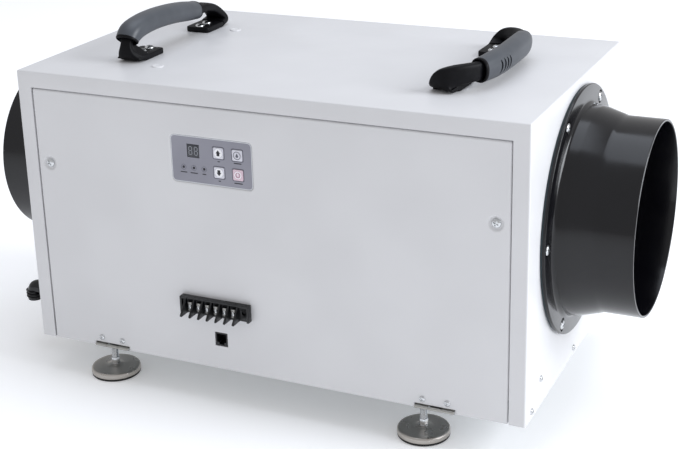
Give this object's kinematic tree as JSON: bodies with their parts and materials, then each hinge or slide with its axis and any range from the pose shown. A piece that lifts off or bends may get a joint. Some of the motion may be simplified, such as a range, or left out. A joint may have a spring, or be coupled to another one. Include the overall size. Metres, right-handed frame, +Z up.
{
  "type": "ducted dehumidifier",
  "caption": "Low white box-shaped ducted dehumidifier with a drop-down front door and control panel, round duct collars at both ends, strap handles and levelling feet.",
  "frame": {"origin": "on the floor, under the centre of the cabinet", "axes": "+X along the air path from the left collar to the right one, -Y towards the front door, +Z up"},
  "size_m": [0.732, 0.3548, 0.4001],
  "materials": {
    "powder_coat_white": "semi-gloss white powder coat",
    "galvanised_steel": "galvanised sheet",
    "stainless_steel": "bright stainless",
    "satin_nickel": "satin nickel plate",
    "black_abs": "glossy moulded ABS",
    "black_rubber": "matt rubber",
    "grip_grey": "moulded grey plastic",
    "overlay_grey": "printed overlay film",
    "button_silver": "light silver keycap",
    "button_rose": "pale rose keycap",
    "display_glass": "dark display window",
    "light_pipe": "dark light pipe",
    "circuit_board": "solder mask",
    "terminal_black": "moulded phenolic",
    "gasket_foam": "closed-cell foam",
    "filter_media": "pleated media",
    "coil_aluminium": "mill-finish fins",
    "tray_white": "moulded plastic",
    "fan_black": "moulded plastic",
    "motor_enamel": "enamel",
    "compressor_enamel": "black enamel",
    "copper_tube": "drawn copper tube"
  },
  "bodies": {
    "cabinet": {"cabinet_shell": "powder_coat_white", "base_pan": "galvanised_steel", "rear_panel": "powder_coat_white", "hinge_base_leaf_left": "stainless_steel", "hinge_base_leaf_right": "stainless_steel", "hinge_pin_left": "stainless_steel", "hinge_pin_right": "stainless_steel", "duct_collar_left": "black_abs", "duct_collar_right": "black_abs", "duct_gasket_left": "gasket_foam", "duct_gasket_right": "gasket_foam", "handle_root_left_front": "black_rubber", "handle_root_left_rear": "black_rubber", "handle_root_right_front": "black_rubber", "handle_root_right_rear": "black_rubber", "drain_elbow": "black_abs", "cord_gland": "black_abs", "air_filter": "filter_media", "evaporator_coil": "coil_aluminium", "condenser_coil": "coil_aluminium", "drain_tray": "tray_white", "fan_shroud": "galvanised_steel", "fan_motor": "motor_enamel", "motor_bracket": "galvanised_steel", "compressor": "compressor_enamel", "accumulator": "compressor_enamel", "suction_pipe": "copper_tube", "discharge_pipe": "copper_tube"},
    "door": {"front_door": "powder_coat_white", "hinge_door_leaf_left": "stainless_steel", "hinge_door_leaf_right": "stainless_steel", "door_screw_left": "stainless_steel", "door_screw_right": "stainless_steel", "control_bezel": "overlay_grey", "display_module": "display_glass", "indicator_lights": "light_pipe", "control_board": "circuit_board", "terminal_block": "terminal_black", "data_socket": "terminal_black"},
    "button_up": {"button_up": "button_silver"},
    "button_down": {"button_down": "button_silver"},
    "button_drain": {"button_drain": "button_silver"},
    "button_power": {"button_power": "button_rose"},
    "fan": {"fan_impeller": "fan_black"},
    "handle_left": {"handle_strap_left": "black_rubber", "handle_grip_left": "grip_grey"},
    "handle_right": {"handle_strap_right": "black_rubber", "handle_grip_right": "grip_grey"},
    "foot_left_front": {"foot_cap_left_front": "satin_nickel", "foot_pad_left_front": "black_rubber"},
    "stem_left_front": {"foot_stem_left_front": "stainless_steel"},
    "foot_left_rear": {"foot_cap_left_rear": "satin_nickel", "foot_pad_left_rear": "black_rubber"},
    "stem_left_rear": {"foot_stem_left_rear": "stainless_steel"},
    "foot_right_front": {"foot_cap_right_front": "satin_nickel", "foot_pad_right_front": "black_rubber"},
    "stem_right_front": {"foot_stem_right_front": "stainless_steel"},
    "foot_right_rear": {"foot_cap_right_rear": "satin_nickel", "foot_pad_right_rear": "black_rubber"},
    "stem_right_rear": {"foot_stem_right_rear": "stainless_steel"}
  },
  "joints": [
    {"name": "door_hinge", "type": "hinge", "parent": "cabinet", "child": "door", "pos_m": [0, -0.1662, 0.0438], "axis": [1, 0, 0], "range_deg": [0, 90]},
    {"name": "press_up", "type": "slide", "parent": "door", "child": "button_up", "axis": [0, 1, 0], "range_m": [0, 0.0007], "stiffness_N_per_m": 800, "springref_m": -0.0005},
    {"name": "press_down", "type": "slide", "parent": "door", "child": "button_down", "axis": [0, 1, 0], "range_m": [0, 0.0007], "stiffness_N_per_m": 800, "springref_m": -0.0005},
    {"name": "press_drain", "type": "slide", "parent": "door", "child": "button_drain", "axis": [0, 1, 0], "range_m": [0, 0.0007], "stiffness_N_per_m": 800, "springref_m": -0.0005},
    {"name": "press_power", "type": "slide", "parent": "door", "child": "button_power", "axis": [0, 1, 0], "range_m": [0, 0.0007], "stiffness_N_per_m": 800, "springref_m": -0.0005},
    {"name": "fan_spin", "type": "hinge", "parent": "cabinet", "child": "fan", "pos_m": [-0.131, 0, 0.2115], "axis": [1, 0, 0], "continuous": true},
    {"name": "handle_left_swing", "type": "hinge", "parent": "cabinet", "child": "handle_left", "pos_m": [-0.186, 0, 0.359], "axis": [0, 1, 0], "range_deg": [-45, 45]},
    {"name": "handle_right_swing", "type": "hinge", "parent": "cabinet", "child": "handle_right", "pos_m": [0.172, 0, 0.359], "axis": [0, 1, 0], "range_deg": [-120, 3]},
    {"name": "level_left_front", "type": "slide", "parent": "cabinet", "child": "foot_left_front", "axis": [0, 0, 1], "range_m": [-0.006, 0.008]},
    {"name": "turn_left_front", "type": "hinge", "parent": "foot_left_front", "child": "stem_left_front", "pos_m": [-0.203, -0.143, 0], "axis": [0, 0, 1], "range_deg": [-1750, 2320]},
    {"name": "level_left_rear", "type": "slide", "parent": "cabinet", "child": "foot_left_rear", "axis": [0, 0, 1], "range_m": [-0.006, 0.008]},
    {"name": "turn_left_rear", "type": "hinge", "parent": "foot_left_rear", "child": "stem_left_rear", "pos_m": [-0.203, 0.143, 0], "axis": [0, 0, 1], "range_deg": [-1750, 2320]},
    {"name": "level_right_front", "type": "slide", "parent": "cabinet", "child": "foot_right_front", "axis": [0, 0, 1], "range_m": [-0.006, 0.008]},
    {"name": "turn_right_front", "type": "hinge", "parent": "foot_right_front", "child": "stem_right_front", "pos_m": [0.169, -0.143, 0], "axis": [0, 0, 1], "range_deg": [-1750, 2320]},
    {"name": "level_right_rear", "type": "slide", "parent": "cabinet", "child": "foot_right_rear", "axis": [0, 0, 1], "range_m": [-0.006, 0.008]},
    {"name": "turn_right_rear", "type": "hinge", "parent": "foot_right_rear", "child": "stem_right_rear", "pos_m": [0.169, 0.143, 0], "axis": [0, 0, 1], "range_deg": [-1750, 2320]}
  ],
  "couplings": [
    {"joint": "turn_left_front", "follows": "level_left_front", "rad_per_m": 5026.5},
    {"joint": "turn_left_rear", "follows": "level_left_rear", "rad_per_m": 5026.5},
    {"joint": "turn_right_front", "follows": "level_right_front", "rad_per_m": 5026.5},
    {"joint": "turn_right_rear", "follows": "level_right_rear", "rad_per_m": 5026.5}
  ]
}
